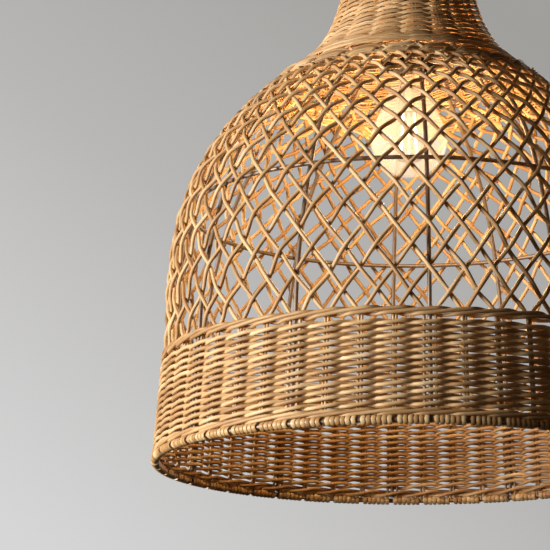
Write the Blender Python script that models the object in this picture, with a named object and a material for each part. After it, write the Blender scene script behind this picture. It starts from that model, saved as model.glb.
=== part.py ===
"""Bell-shaped woven rattan pendant light on a welded wire frame, with an E27 lamp holder and bulb.

All sizes are in metres. Heights in the constants are measured up from the middle of the bottom
ring. The model's origin is the top of the cord grip, where the light hangs, so every height is
lowered by HANG_HEIGHT when a piece is placed. Rib angles run from -Y towards +X.
"""
import math

import bmesh
import bpy

GAP = 0.0003                     # clearance between pieces that touch or are welded

# Woven wall: the line that the middle of the wall follows
RIM_RADIUS = 0.1995              # bottom ring, middle of the wire
RIM_PROUD = 0.0015               # how far the ring stands outside the wall line
BAND_TOP_HEIGHT = 0.082
BAND_TOP_RADIUS = 0.1915
JUNCTION_HEIGHT = 0.311          # where the open dome meets the neck
JUNCTION_RADIUS = 0.100
TOP_HEIGHT = 0.440               # top ring, middle of the wire
THROAT_RADIUS = 0.045            # radius that the flared neck closes in to
DOME_POWER = 3.3                 # how late the dome turns inwards
FLARE_LENGTH = 0.0375            # how fast the neck narrows

BAND_HALF = 0.0040               # half thickness of the twined band
BORDER_HALF = 0.0045
LATTICE_HALF = 0.0032
BRAID_HALF = 0.0050
NECK_HALF = 0.0040
BORDER_DEPTH = 0.010             # height of the rope border on the band
BRAID_DEPTH = 0.016              # height of the braid under the neck

# Wire frame
RIB_COUNT = 12
FIRST_RIB_ANGLE = math.radians(4.4)
RIB_WIRE = 0.0017                # wire radii
MID_WIRE = 0.0016
RIM_WIRE = 0.0020
TOP_WIRE = 0.0018
BINDING_WALL = 0.0010            # cane wrapped round the end rings
BINDING_MOUTH = math.radians(62)   # half angle left open where the stakes come in
MID_RING_HEIGHT = 0.2025
FRAME_SLACK = 0.0009             # room between the frame and the weave above the band
FRAME_STANDOFF = BRAID_HALF + RIB_WIRE + FRAME_SLACK   # frame inside the wall line there
RING_ROOM = 0.0028                # more standoff at the middle ring, which runs outside the ribs

# Lamp holder, bottom to top
SKIRT_BOTTOM = 0.325
SKIRT_RADIUS = 0.0198
SKIRT_LENGTH = 0.0195
SHOULDER_RADIUS = SKIRT_RADIUS + 0.0035
SHOULDER_DEPTH = 0.0035
BODY_RADIUS = SKIRT_RADIUS - 0.0020
BODY_BORE = BODY_RADIUS - 0.0028
BODY_LENGTH = 0.026              # above the shoulder
CAP_WALL = 0.0022
CAP_RADIUS = BODY_RADIUS + CAP_WALL + 0.0010
CAP_OVERLAP = 0.014              # how far the cap covers the body
CAP_DOME = 0.016
PLATE_RADIUS = SKIRT_RADIUS + 0.0090
PLATE_THICKNESS = 0.0015
PLATE_CLEARANCE = 0.0005
WASHER_THICKNESS = 0.0012
SHADE_RING_RADIUS = SKIRT_RADIUS + 0.0026
SHADE_RING_DEPTH = 0.0137
SHADE_RING_CLEARANCE = 0.0004
SPIDER_ARMS = 3
SPIDER_ARM_WIDTH = 0.009
CORD_BORE = 0.0036
GRIP_RADIUS = 0.0080
GRIP_LENGTH = 0.0130
GRIP_STEM = 0.0050
GRIP_STEM_LENGTH = 0.0090
GRIP_SCREW = 0.0015
NUT_RADIUS = 0.0085
NUT_THICKNESS = 0.0028

# E27 screw thread
THREAD_LEAD = 0.003629
THREAD_RADIUS = 0.01268          # mean radius of the bulb's thread
THREAD_DEPTH = 0.00052           # half the height of the round thread
THREAD_CLEARANCE = 0.00035
SHELL_WALL = 0.0009
SHELL_LENGTH = 0.0225
THREAD_TURNS = 5
SHELL_BORE = THREAD_RADIUS + THREAD_CLEARANCE + THREAD_DEPTH + SHELL_WALL + GAP / 2

# Bulb
BULB_RADIUS = 0.031
BULB_CENTRE_BELOW = 0.061        # widest place below the holder's mouth
BULB_NECK = THREAD_RADIUS + 0.0001
GLASS_WALL = 0.0010
CAP_SHEET = 0.0007
CONTACT_ABOVE = 0.0250           # contact tip above the holder's mouth
FILAMENT_COUNT = 4
FILAMENT_RADIUS = 0.0009
FILAMENT_LENGTH = 0.036

# Facets
RIM_FACETS = 72
RING_FACETS = 36
PART_FACETS = 20
WIRE_SIDES = 6

# Heights worked out from the sizes above
NECK_RING_HEIGHT = SKIRT_BOTTOM + SKIRT_LENGTH - PLATE_THICKNESS / 2
SHOULDER_HEIGHT = SKIRT_BOTTOM + SKIRT_LENGTH + GAP
BODY_TOP = SHOULDER_HEIGHT + SHOULDER_DEPTH + BODY_LENGTH
CAP_BOTTOM = BODY_TOP - CAP_OVERLAP
CAP_TOP = BODY_TOP + CAP_WALL + CAP_DOME
HANG_HEIGHT = CAP_TOP + GAP + GRIP_LENGTH
CONTACT_HEIGHT = SKIRT_BOTTOM + CONTACT_ABOVE
BULB_CENTRE = SKIRT_BOTTOM - BULB_CENTRE_BELOW
SHELL_BOTTOM = SKIRT_BOTTOM + 0.0015
INSERT_BOTTOM = CONTACT_HEIGHT + 0.0022


# ---------------------------------------------------------------- helpers

def clear_scene():
    for old in list(bpy.data.objects):
        bpy.data.objects.remove(old, do_unlink=True)


def make_material(name, color, roughness, metallic=0.0, alpha=1.0):
    material = bpy.data.materials.new(name)
    material.use_nodes = True
    shader = material.node_tree.nodes["Principled BSDF"]
    shader.inputs["Base Color"].default_value = (*color, 1.0)
    shader.inputs["Roughness"].default_value = roughness
    shader.inputs["Metallic"].default_value = metallic
    shader.inputs["Alpha"].default_value = alpha
    return material


def add_node(name, vertices, faces, material):
    """One named closed body. Its heights are given above the rim and lowered here."""
    mesh = bpy.data.meshes.new(name)
    mesh.from_pydata([(x, y, z - HANG_HEIGHT) for x, y, z in vertices], [], faces)
    work = bmesh.new()
    work.from_mesh(mesh)
    bmesh.ops.recalc_face_normals(work, faces=work.faces)
    work.to_mesh(mesh)
    work.free()
    mesh.shade_smooth()
    mesh.set_sharp_from_angle(angle=math.radians(35))
    mesh.materials.append(material)
    node = bpy.data.objects.new(name, mesh)
    bpy.context.scene.collection.objects.link(node)
    return node


def polar(radius, angle, height):
    """A point at an angle turned from -Y towards +X."""
    return (radius * math.sin(angle), -radius * math.cos(angle), height)


def loops_to_body(loops):
    """Quads between closed loops of equal length, the last joined back to the first."""
    count = len(loops[0])
    vertices = [point for loop in loops for point in loop]
    faces = []
    for row in range(len(loops)):
        after = (row + 1) % len(loops)
        for column in range(count):
            side = (column + 1) % count
            faces.append((row * count + column, row * count + side,
                          after * count + side, after * count + column))
    return vertices, faces


def turned(name, outline, material, facets=PART_FACETS):
    """A closed outline of (radius, height) turned round the axis; radius 0 makes a pole."""
    vertices = []
    rings = []
    for radius, height in outline:
        first = len(vertices)
        if radius == 0.0:
            vertices.append((0.0, 0.0, height))
            rings.append([first] * facets)
            continue
        for step in range(facets):
            vertices.append(polar(radius, 2 * math.pi * step / facets, height))
        rings.append(list(range(first, first + facets)))
    faces = []
    for index, ring in enumerate(rings):
        after = rings[(index + 1) % len(rings)]
        for step in range(facets):
            side = (step + 1) % facets
            corners = [ring[step], ring[side], after[side], after[step]]
            corners = list(dict.fromkeys(corners))
            if len(corners) > 2:
                faces.append(tuple(corners))
    return add_node(name, vertices, faces, material)


def wire_ring(name, radius, height, wire, material, facets):
    outline = [(radius + wire * math.cos(2 * math.pi * side / WIRE_SIDES),
                height + wire * math.sin(2 * math.pi * side / WIRE_SIDES))
               for side in range(WIRE_SIDES)]
    return turned(name, outline, material, facets)


def cap_faces(vertex_count, sides):
    return [tuple(range(sides)), tuple(range(vertex_count - sides, vertex_count))]


def upright_wire(name, line, angle, wire, material):
    """A round wire along a line of (radius, height) in the upright plane at one angle."""
    vertices = []
    faces = []
    for index, (radius, height) in enumerate(line):
        before = line[max(index - 1, 0)]
        after = line[min(index + 1, len(line) - 1)]
        run = (after[0] - before[0], after[1] - before[1])
        length = math.hypot(*run)
        across = (run[1] / length, -run[0] / length)
        for side in range(WIRE_SIDES):
            turn = 2 * math.pi * side / WIRE_SIDES
            out = radius + wire * math.cos(turn) * across[0]
            up = height + wire * math.cos(turn) * across[1]
            x, y, z = polar(out, angle, up)
            slip = wire * math.sin(turn)
            vertices.append((x + slip * math.cos(angle), y + slip * math.sin(angle), z))
    for row in range(len(line) - 1):
        for side in range(WIRE_SIDES):
            step = (side + 1) % WIRE_SIDES
            faces.append((row * WIRE_SIDES + side, row * WIRE_SIDES + step,
                          (row + 1) * WIRE_SIDES + step, (row + 1) * WIRE_SIDES + side))
    faces += cap_faces(len(vertices), WIRE_SIDES)
    return add_node(name, vertices, faces, material)


def extruded(name, outline, depth, material, centre=(0.0, 0.0), turn=0.0):
    """An outline of (across, height) given thickness along the other level direction."""
    vertices = []
    for offset in (-depth / 2, depth / 2):
        for across, height in outline:
            x = centre[0] + across * math.cos(turn) - offset * math.sin(turn)
            y = centre[1] + across * math.sin(turn) + offset * math.cos(turn)
            vertices.append((x, y, height))
    count = len(outline)
    faces = [(step, (step + 1) % count, (step + 1) % count + count, step + count)
             for step in range(count)]
    faces += cap_faces(len(vertices), count)
    return add_node(name, vertices, faces, material)


def cut_hole(node, start, end, radius, facets=12):
    """Cuts a round hole from start to end, both given above the rim."""
    run = [b - a for a, b in zip(start, end)]
    length = math.sqrt(sum(part * part for part in run))
    axis = [part / length for part in run]
    across = (0.0, 1.0, 0.0) if abs(axis[1]) < 0.5 else (1.0, 0.0, 0.0)
    other = (axis[1] * across[2] - axis[2] * across[1],
             axis[2] * across[0] - axis[0] * across[2],
             axis[0] * across[1] - axis[1] * across[0])
    vertices = []
    for point in (start, end):
        for step in range(facets):
            turn = 2 * math.pi * step / facets
            vertices.append(tuple(point[i] + radius * (math.cos(turn) * across[i]
                                                       + math.sin(turn) * other[i])
                                  for i in range(3)))
    faces = [(step, (step + 1) % facets, (step + 1) % facets + facets, step + facets)
             for step in range(facets)]
    faces += cap_faces(len(vertices), facets)
    cutter = add_node("cutter_" + node.name, vertices, faces, node.data.materials[0])
    cutter.hide_render = True
    cutter.display_type = "WIRE"
    cut = node.modifiers.new("hole", "BOOLEAN")
    cut.operation = "DIFFERENCE"
    cut.solver = "EXACT"
    cut.object = cutter


# ---------------------------------------------------------------- wall line

def wall_radius(height):
    """Radius of the middle of the woven wall: straight band, domed lattice, flared neck."""
    if height <= BAND_TOP_HEIGHT:
        foot = RIM_RADIUS - RIM_PROUD
        return foot + (BAND_TOP_RADIUS - foot) * height / BAND_TOP_HEIGHT
    if height <= JUNCTION_HEIGHT:
        share = (height - BAND_TOP_HEIGHT) / (JUNCTION_HEIGHT - BAND_TOP_HEIGHT)
        return BAND_TOP_RADIUS - (BAND_TOP_RADIUS - JUNCTION_RADIUS) * share ** DOME_POWER
    fall = math.exp(-(height - JUNCTION_HEIGHT) / FLARE_LENGTH)
    return THROAT_RADIUS + (JUNCTION_RADIUS - THROAT_RADIUS) * fall


def wall_point(height, offset):
    """A point of the wall line moved out along the wall's own normal."""
    reach = 0.0005
    rise = wall_radius(height + reach) - wall_radius(height - reach)
    length = math.hypot(rise, 2 * reach)
    return (wall_radius(height) + offset * 2 * reach / length, height - offset * rise / length)


def frame_offset(height):
    """The ribs lie in the wall up to the band's top, then move inside it by the standoff."""
    below = _eased((height - BAND_TOP_HEIGHT) / (MID_RING_HEIGHT - BAND_TOP_HEIGHT))
    above = _eased((JUNCTION_HEIGHT - height) / (JUNCTION_HEIGHT - MID_RING_HEIGHT))
    return -FRAME_STANDOFF * below - RING_ROOM * min(below, above)


def _eased(share):
    share = min(max(share, 0.0), 1.0)
    return share * share * (3 - 2 * share)


def rib_angles():
    return [FIRST_RIB_ANGLE + 2 * math.pi * rib / RIB_COUNT for rib in range(RIB_COUNT)]


# ---------------------------------------------------------------- woven wall

def grooved_wall(name, low, high, half, spans, material):
    """A wall of revolution with a groove up its inside for each rib that lies in it."""
    heights = [low + (high - low) * step / spans for step in range(spans + 1)]
    slot = (RIB_WIRE + GAP) / wall_radius(high)
    lip = slot + 0.0006 / wall_radius(high)
    between = (2 * math.pi / RIB_COUNT - 2 * lip) / 3
    stations = []
    for angle in rib_angles():
        stations += [(angle - lip, False), (angle - slot, True), (angle + slot, True),
                     (angle + lip, False), (angle + lip + between, False),
                     (angle + lip + 2 * between, False)]
    outer = []
    inner = []
    for height in heights:
        outer.append([polar(*_at(wall_point(height, half), angle)) for angle, _ in stations])
        floor = max(-half, frame_offset(height) + RIB_WIRE + GAP)
        inner.append([polar(*_at(wall_point(height, floor if grooved else -half), angle))
                      for angle, grooved in stations])
    vertices, faces = loops_to_body(outer + inner[::-1])
    return add_node(name, vertices, faces, material)


def _at(point, angle):
    return point[0], angle, point[1]


def plain_wall(name, low, high, half, spans, material, facets):
    heights = [low + (high - low) * step / spans for step in range(spans + 1)]
    outline = [wall_point(height, half) for height in heights]
    outline += [wall_point(height, -half) for height in reversed(heights)]
    return turned(name, outline, material, facets)


def binding(name, radius, height, wire, mouth_side, material, facets):
    """Cane wrapped round a ring, open on the side where the stakes come in."""
    steps = 6
    start = math.pi / 2 * mouth_side + BINDING_MOUTH
    sweep = 2 * math.pi - 2 * BINDING_MOUTH
    turns = [start + sweep * step / steps for step in range(steps + 1)]
    outline = []
    for reach, order in ((wire + GAP + BINDING_WALL, turns), (wire + GAP, turns[::-1])):
        # the facets' middles stand off by the full reach, so corners are drawn out a little
        corner = reach / math.cos(sweep / steps / 2)
        outline += [(radius + corner * math.cos(turn), height + corner * math.sin(turn))
                    for turn in order]
    return turned(name, outline, material, facets)


def build_weave(cane, peel):
    border_low = BAND_TOP_HEIGHT - BORDER_DEPTH / 2
    border_high = BAND_TOP_HEIGHT + BORDER_DEPTH / 2
    braid_low = JUNCTION_HEIGHT - BRAID_DEPTH / 2
    braid_high = JUNCTION_HEIGHT + BRAID_DEPTH / 2
    grooved_wall("lower_band", RIM_WIRE + GAP, border_low - GAP, BAND_HALF, 2, cane)
    grooved_wall("band_top_border", border_low, border_high, BORDER_HALF, 1, cane)
    grooved_wall("lattice_dome", border_high + GAP, braid_low - GAP, LATTICE_HALF, 6, cane)
    plain_wall("junction_braid", braid_low, braid_high, BRAID_HALF, 2, cane, RING_FACETS)
    under_top = TOP_HEIGHT - TOP_WIRE - GAP
    lift = wall_point(under_top, NECK_HALF)[1] - under_top
    plain_wall("neck_weave", braid_high + GAP, under_top - lift, NECK_HALF, 5, cane, RING_FACETS)
    binding("rim_binding", RIM_RADIUS, 0.0, RIM_WIRE, 1, peel, RIM_FACETS)
    binding("top_binding", wall_radius(TOP_HEIGHT), TOP_HEIGHT, TOP_WIRE, -1, peel, RING_FACETS)


# ---------------------------------------------------------------- wire frame

def neck_ring_radius():
    return wall_point(NECK_RING_HEIGHT, frame_offset(NECK_RING_HEIGHT))[0]


def rib_line():
    """Bends of a rib from the bottom ring to just under the neck ring."""
    head = NECK_RING_HEIGHT - RIB_WIRE - 3 * GAP
    low = 3
    high = 7
    stops = [RIM_WIRE + GAP]
    stops += [BAND_TOP_HEIGHT + (MID_RING_HEIGHT - BAND_TOP_HEIGHT) * step / low
              for step in range(low)]
    stops += [MID_RING_HEIGHT + (head - MID_RING_HEIGHT) * step / high
              for step in range(high + 1)]
    return [wall_point(height, frame_offset(height)) for height in stops]


def build_frame(steel):
    wire_ring("bottom_ring", RIM_RADIUS, 0.0, RIM_WIRE, steel, RIM_FACETS)
    outside = frame_offset(MID_RING_HEIGHT) + RIB_WIRE + MID_WIRE + 3 * GAP
    wire_ring("mid_ring", *wall_point(MID_RING_HEIGHT, outside), MID_WIRE, steel, 60)
    wire_ring("neck_ring", neck_ring_radius(), NECK_RING_HEIGHT, RIB_WIRE, steel, RING_FACETS)
    wire_ring("top_ring", wall_radius(TOP_HEIGHT), TOP_HEIGHT, TOP_WIRE, steel, RING_FACETS)
    line = rib_line()
    for index, angle in enumerate(rib_angles()):
        upright_wire(f"rib_{index + 1:02d}", line, angle, RIB_WIRE, steel)
    build_spider(steel)


def build_spider(steel):
    """Centre plate with flat arms that reach the neck ring."""
    low = SHOULDER_HEIGHT - GAP - PLATE_THICKNESS
    high = low + PLATE_THICKNESS
    hole = SKIRT_RADIUS + PLATE_CLEARANCE
    reach = neck_ring_radius() - RIB_WIRE / math.cos(math.pi / RING_FACETS) - 2 * GAP
    half_arm = SPIDER_ARM_WIDTH / 2
    root = math.asin(half_arm / PLATE_RADIUS)
    tip = math.asin(half_arm / reach)
    rim = 6
    stations = []
    for arm in range(SPIDER_ARMS):
        middle = FIRST_RIB_ANGLE + 2 * math.pi * arm / SPIDER_ARMS
        stations += [(middle - root, PLATE_RADIUS), (middle - tip, reach), (middle, reach),
                     (middle + tip, reach), (middle + root, PLATE_RADIUS)]
        span = 2 * math.pi / SPIDER_ARMS - 2 * root
        stations += [(middle + root + span * step / rim, PLATE_RADIUS)
                     for step in range(1, rim)]
    loops = [[polar(radius, angle, low) for angle, radius in stations],
             [polar(radius, angle, high) for angle, radius in stations],
             [polar(hole, angle, high) for angle, _ in stations],
             [polar(hole, angle, low) for angle, _ in stations]]
    vertices, faces = loops_to_body(loops)
    add_node("spider", vertices, faces, steel)


# ---------------------------------------------------------------- lamp holder

def threaded_sleeve(name, low, turns, mean, other_side, clear, ends, material):
    """A sleeve with the round E27 thread on one side and the other side plain.

    clear is -1 on an outer thread and 1 in a bore, so that each end runs out away from its mate.
    """
    rows = 4
    count = turns * rows
    loops = []
    for row in range(count + 1):
        height = low + THREAD_LEAD * row / rows
        fade = min(1.0, row / rows, (count - row) / rows)
        loop = []
        for step in range(PART_FACETS):
            turn = 2 * math.pi * step / PART_FACETS
            phase = 2 * math.pi * (height - SKIRT_BOTTOM) / THREAD_LEAD - turn
            ridge = fade * math.sin(phase) + (1 - fade) * clear
            loop.append(polar(mean + THREAD_DEPTH * ridge, turn, height))
        loops.append(loop)
    for radius, height in ends["top"] + [(other_side, ends["top"][-1][1])]:
        loops.append([polar(radius, 2 * math.pi * step / PART_FACETS, height)
                      for step in range(PART_FACETS)])
    for radius, height in [(other_side, ends["bottom"][-1][1])] + ends["bottom"][::-1]:
        loops.append([polar(radius, 2 * math.pi * step / PART_FACETS, height)
                      for step in range(PART_FACETS)])
    vertices, faces = loops_to_body(loops)
    return add_node(name, vertices, faces, material)


def build_holder(black, ceramic, nickel, steel):
    turned("holder_body", [
        (SKIRT_RADIUS, SKIRT_BOTTOM), (SKIRT_RADIUS, SHOULDER_HEIGHT),
        (SHOULDER_RADIUS, SHOULDER_HEIGHT), (SHOULDER_RADIUS, SHOULDER_HEIGHT + SHOULDER_DEPTH),
        (BODY_RADIUS, SHOULDER_HEIGHT + SHOULDER_DEPTH), (BODY_RADIUS, BODY_TOP),
        (BODY_BORE, BODY_TOP), (BODY_BORE, INSERT_BOTTOM - GAP),
        (SHELL_BORE, INSERT_BOTTOM - GAP), (SHELL_BORE, SKIRT_BOTTOM)], black, 32)
    inner = CAP_RADIUS - CAP_WALL
    dome_low = BODY_TOP + GAP
    steps = 4
    outside = [(CAP_RADIUS, CAP_BOTTOM), (CAP_RADIUS, dome_low)]
    inside = [(inner, CAP_BOTTOM), (inner, dome_low)]
    neck = GRIP_RADIUS + 0.002
    for step in range(1, steps + 1):
        turn = math.pi / 2 * step / steps
        outside.append((neck + (CAP_RADIUS - neck) * math.cos(turn),
                        dome_low + (CAP_TOP - dome_low) * math.sin(turn)))
        inside.append((neck + (inner - neck) * math.cos(turn),
                       dome_low + (CAP_TOP - CAP_WALL - dome_low) * math.sin(turn)))
    stem_hole = GRIP_STEM + GAP
    turned("holder_cap", outside + [(stem_hole, CAP_TOP), (stem_hole, CAP_TOP - CAP_WALL)]
           + inside[::-1], black, 32)
    build_insert(ceramic, nickel, steel)
    shell_mean = THREAD_RADIUS + THREAD_CLEARANCE
    plain = shell_mean + THREAD_DEPTH + SHELL_WALL - GAP
    top = SHELL_BOTTOM + SHELL_LENGTH
    lip = THREAD_RADIUS - 0.0030
    shell_low = SHELL_BOTTOM + THREAD_LEAD / 4
    threaded_sleeve("screw_shell", shell_low, THREAD_TURNS, shell_mean, plain, 1,
                    {"top": [(shell_mean, top - SHELL_WALL), (lip, top - SHELL_WALL), (lip, top)],
                     "bottom": [(shell_mean + THREAD_DEPTH, SHELL_BOTTOM)]}, nickel)


def build_insert(ceramic, nickel, steel):
    """Ceramic disc that carries the contacts and the two wire terminals."""
    radius = BODY_BORE - GAP
    top = INSERT_BOTTOM + 0.013
    disc = turned("holder_insert", [(0.0, INSERT_BOTTOM), (radius, INSERT_BOTTOM),
                                    (radius, top - 0.004), (radius - 0.003, top), (0.0, top)],
                  ceramic)
    screw = 0.0016
    depth = 0.006
    place = 0.0085
    for index, side in enumerate((-1, 1)):
        centre = (side * place, 0.0)
        cut_hole(disc, (*centre, top - depth - GAP), (*centre, top + depth), screw + GAP)
        outline = [(0.0, top - depth), (screw, top - depth), (screw, top + GAP),
                   (2 * screw, top + GAP), (2 * screw, top + GAP + screw), (0.0, top + GAP + screw)]
        screw_node = turned(f"terminal_screw_{index + 1}", outline, nickel, 12)
        screw_node.location.x = centre[0]
    strip = 0.0005
    low = CONTACT_HEIGHT + GAP
    high = INSERT_BOTTOM - GAP
    extruded("centre_contact", [(-0.0020, low), (0.0020, low), (0.0070, high - strip),
                                (0.0100, high - strip), (0.0100, high), (0.0066, high),
                                (0.0018, low + strip), (-0.0020, low + strip)],
             0.0050, nickel)
    rest = SHELL_BOTTOM + SHELL_LENGTH + GAP
    foot = 0.0021 - SHELL_BORE
    extruded("side_contact", [(foot, rest), (foot + 0.0025, rest), (foot + 0.0050, high - strip),
                              (foot + 0.0070, high - strip), (foot + 0.0070, high),
                              (foot + 0.0045, high), (foot + 0.0022, rest + strip),
                              (foot, rest + strip)],
             0.0050, nickel)


def build_cord_grip(black, steel):
    low = CAP_TOP + GAP
    stem_low = CAP_TOP - GRIP_STEM_LENGTH
    grip = turned("cord_grip", [
        (CORD_BORE, stem_low), (GRIP_STEM, stem_low), (GRIP_STEM, low), (GRIP_RADIUS, low),
        (GRIP_RADIUS, low + GRIP_LENGTH * 0.75), (GRIP_RADIUS - 0.0015, HANG_HEIGHT),
        (CORD_BORE, HANG_HEIGHT)], black)
    level = low + GRIP_LENGTH * 0.4
    cut_hole(grip, (CORD_BORE * 0.5, 0.0, level), (2 * GRIP_RADIUS, 0.0, level), GRIP_SCREW + GAP)
    reach = 0.0022
    head = 2 * GRIP_SCREW
    tip = CORD_BORE + GAP
    screw = turned("cord_grip_screw", [
        (0.0, tip), (GRIP_SCREW, tip), (GRIP_SCREW, GRIP_RADIUS + GAP), (head, GRIP_RADIUS + GAP),
        (head, GRIP_RADIUS + reach), (0.0, GRIP_RADIUS + reach)], steel, 12)
    for vertex in screw.data.vertices:
        x, y, z = vertex.co
        vertex.co = (z + HANG_HEIGHT, y, -x)
    screw.location.z = level - HANG_HEIGHT
    nut_top = CAP_TOP - CAP_WALL - GAP
    turned("grip_nut", [(GRIP_STEM + GAP, nut_top - NUT_THICKNESS),
                        (NUT_RADIUS, nut_top - NUT_THICKNESS), (NUT_RADIUS, nut_top),
                        (GRIP_STEM + GAP, nut_top)], steel, 6 * 3)


def build_shade_ring(black, steel):
    """The threaded ring and its washer that clamp the spider plate against the holder."""
    washer_top = SHOULDER_HEIGHT - 2 * GAP - PLATE_THICKNESS
    washer_low = washer_top - WASHER_THICKNESS
    bore = SKIRT_RADIUS + PLATE_CLEARANCE
    turned("ring_washer", [(bore, washer_low), (SHADE_RING_RADIUS, washer_low),
                           (SHADE_RING_RADIUS, washer_top), (bore, washer_top)], steel, 32)
    top = washer_low - GAP
    low = top - SHADE_RING_DEPTH
    bore = SKIRT_RADIUS + SHADE_RING_CLEARANCE
    chamfer = 0.0010
    turned("shade_ring", [(bore, low), (SHADE_RING_RADIUS - chamfer, low),
                          (SHADE_RING_RADIUS, low + chamfer), (SHADE_RING_RADIUS, top),
                          (bore, top)], black, 32)


# ---------------------------------------------------------------- bulb

def bulb_outside(height):
    """Radius of the bulb: a round bottom that narrows to the neck."""
    if height <= BULB_CENTRE:
        depth = min(1.0, (BULB_CENTRE - height) / BULB_RADIUS)
        return BULB_RADIUS * math.sqrt(max(0.0, 1 - depth * depth))
    share = min(1.0, (height - BULB_CENTRE) / BULB_CENTRE_BELOW) ** 0.85
    return BULB_RADIUS - (BULB_RADIUS - BULB_NECK) * share * share * (3 - 2 * share)


def build_bulb(glass, clear, brass, black, nickel, phosphor):
    seat = THREAD_RADIUS - THREAD_DEPTH - CAP_SHEET - GAP
    neck_top = SKIRT_BOTTOM + 0.010
    mouth = SKIRT_BOTTOM - 0.0015
    outside = [(0.0, BULB_CENTRE - BULB_RADIUS)]
    inside = [(0.0, BULB_CENTRE - BULB_RADIUS + GLASS_WALL)]
    bottom_steps = 5
    for step in range(1, bottom_steps + 1):
        turn = math.pi / 2 * step / bottom_steps
        outside.append((BULB_RADIUS * math.sin(turn), BULB_CENTRE - BULB_RADIUS * math.cos(turn)))
        core = BULB_RADIUS - GLASS_WALL
        inside.append((core * math.sin(turn), BULB_CENTRE - core * math.cos(turn)))
    side_steps = 6
    for step in range(1, side_steps + 1):
        height = BULB_CENTRE + (mouth - BULB_CENTRE) * step / side_steps
        outside.append((bulb_outside(height), height))
        inside.append((bulb_outside(height) - GLASS_WALL, height))
    outside[-1] = (seat, mouth)
    inside[-1] = (seat - GLASS_WALL, mouth)
    outside.append((seat, neck_top))
    inside.append((seat - GLASS_WALL, neck_top))
    turned("bulb_glass", outside + inside[::-1], glass, 24)

    thread_low = SKIRT_BOTTOM + THREAD_LEAD / 4 + 0.0015
    shoulder = thread_low + THREAD_TURNS * THREAD_LEAD
    crown = CONTACT_HEIGHT - 0.0022
    eyelet = 0.0062
    threaded_sleeve("bulb_cap", thread_low, THREAD_TURNS, THREAD_RADIUS, seat + GAP, -1,
                    {"top": [(THREAD_RADIUS - 0.0010, shoulder + 0.0008),
                             (eyelet, crown), (eyelet - CAP_SHEET, crown),
                             (seat + GAP, shoulder + 0.0003)],
                     "bottom": [(BULB_NECK + 0.0004, SKIRT_BOTTOM + 0.0012),
                                (BULB_NECK + 0.0004, mouth + GAP)]}, brass)
    turned("cap_insulator", [(0.0022, crown - 0.0006), (eyelet - CAP_SHEET - GAP, crown - 0.0006),
                             (eyelet - CAP_SHEET - GAP, crown + GAP), (eyelet, crown + GAP),
                             (0.0048, CONTACT_HEIGHT - 0.0012), (0.0022, CONTACT_HEIGHT - 0.0012)],
           black)
    turned("contact_tip", [(0.0, crown - 0.0006), (0.0018, crown - 0.0006),
                           (0.0018, CONTACT_HEIGHT - 0.0009), (0.0044, CONTACT_HEIGHT - 0.0009),
                           (0.0036, CONTACT_HEIGHT), (0.0, CONTACT_HEIGHT)], nickel)

    stem_top = SKIRT_BOTTOM + 0.0085
    filament_top = BULB_CENTRE + FILAMENT_LENGTH * 0.58
    filament_low = filament_top - FILAMENT_LENGTH
    rod = 0.0012
    flare = BULB_NECK - 0.0040
    turned("bulb_stem", [(0.0, filament_low - 0.0040), (rod, filament_low - 0.0032),
                         (rod, filament_top + 0.0040), (0.0030, filament_top + 0.0070),
                         (0.0034, SKIRT_BOTTOM - 0.0040), (flare, stem_top - 0.0010),
                         (flare, stem_top), (0.0, stem_top)], clear, 16)
    bore = rod + GAP
    upper = 0.0062
    lower = 0.0095
    wire = 0.0006
    for name, reach, height in (("filament_collar", upper, filament_top + GAP),
                                ("filament_crown", lower, filament_low - GAP - 2 * wire)):
        turned(name, [(bore, height), (reach + FILAMENT_RADIUS, height),
                      (reach + FILAMENT_RADIUS, height + 2 * wire), (bore, height + 2 * wire)],
               nickel, 16)
    line = [(lower - FILAMENT_RADIUS, filament_low), (upper - FILAMENT_RADIUS, filament_top)]
    for index in range(FILAMENT_COUNT):
        angle = 2 * math.pi * (index + 0.5) / FILAMENT_COUNT
        stick = [(lower, filament_low + FILAMENT_RADIUS * 0.1),
                 (upper, filament_top - FILAMENT_RADIUS * 0.1)]
        upright_wire(f"filament_{index + 1}", stick, angle, FILAMENT_RADIUS, phosphor)


# ---------------------------------------------------------------- build

def main():
    clear_scene()
    cane = make_material("peeled_rattan", (0.55, 0.33, 0.15), 0.55)
    peel = make_material("split_cane", (0.50, 0.29, 0.12), 0.45)
    steel = make_material("frame_steel", (0.10, 0.085, 0.07), 0.45, metallic=0.8)
    black = make_material("black_thermoplastic", (0.012, 0.012, 0.013), 0.4)
    ceramic = make_material("steatite", (0.75, 0.72, 0.66), 0.5)
    nickel = make_material("nickel_plate", (0.62, 0.60, 0.55), 0.3, metallic=1.0)
    brass = make_material("cap_brass", (0.60, 0.47, 0.22), 0.3, metallic=1.0)
    glass = make_material("bulb_glass", (0.95, 0.93, 0.88), 0.03, alpha=0.3)
    clear = make_material("stem_glass", (0.9, 0.9, 0.88), 0.05, alpha=0.4)
    phosphor = make_material("filament_phosphor", (0.95, 0.65, 0.2), 0.5)
    build_frame(steel)
    build_weave(cane, peel)
    build_holder(black, ceramic, nickel, steel)
    build_cord_grip(black, steel)
    build_shade_ring(black, steel)
    build_bulb(glass, clear, brass, black, nickel, phosphor)


main()
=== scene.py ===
"""Woven rattan pendant light: its strands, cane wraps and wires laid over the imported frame.

Lengths are in metres. Heights are measured up from the middle of the bottom ring and angles turn
from -Y, the near side, towards +X, as in the solid model.
"""
import math

import bpy
import numpy as np
from mathutils import Matrix, Vector


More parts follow.
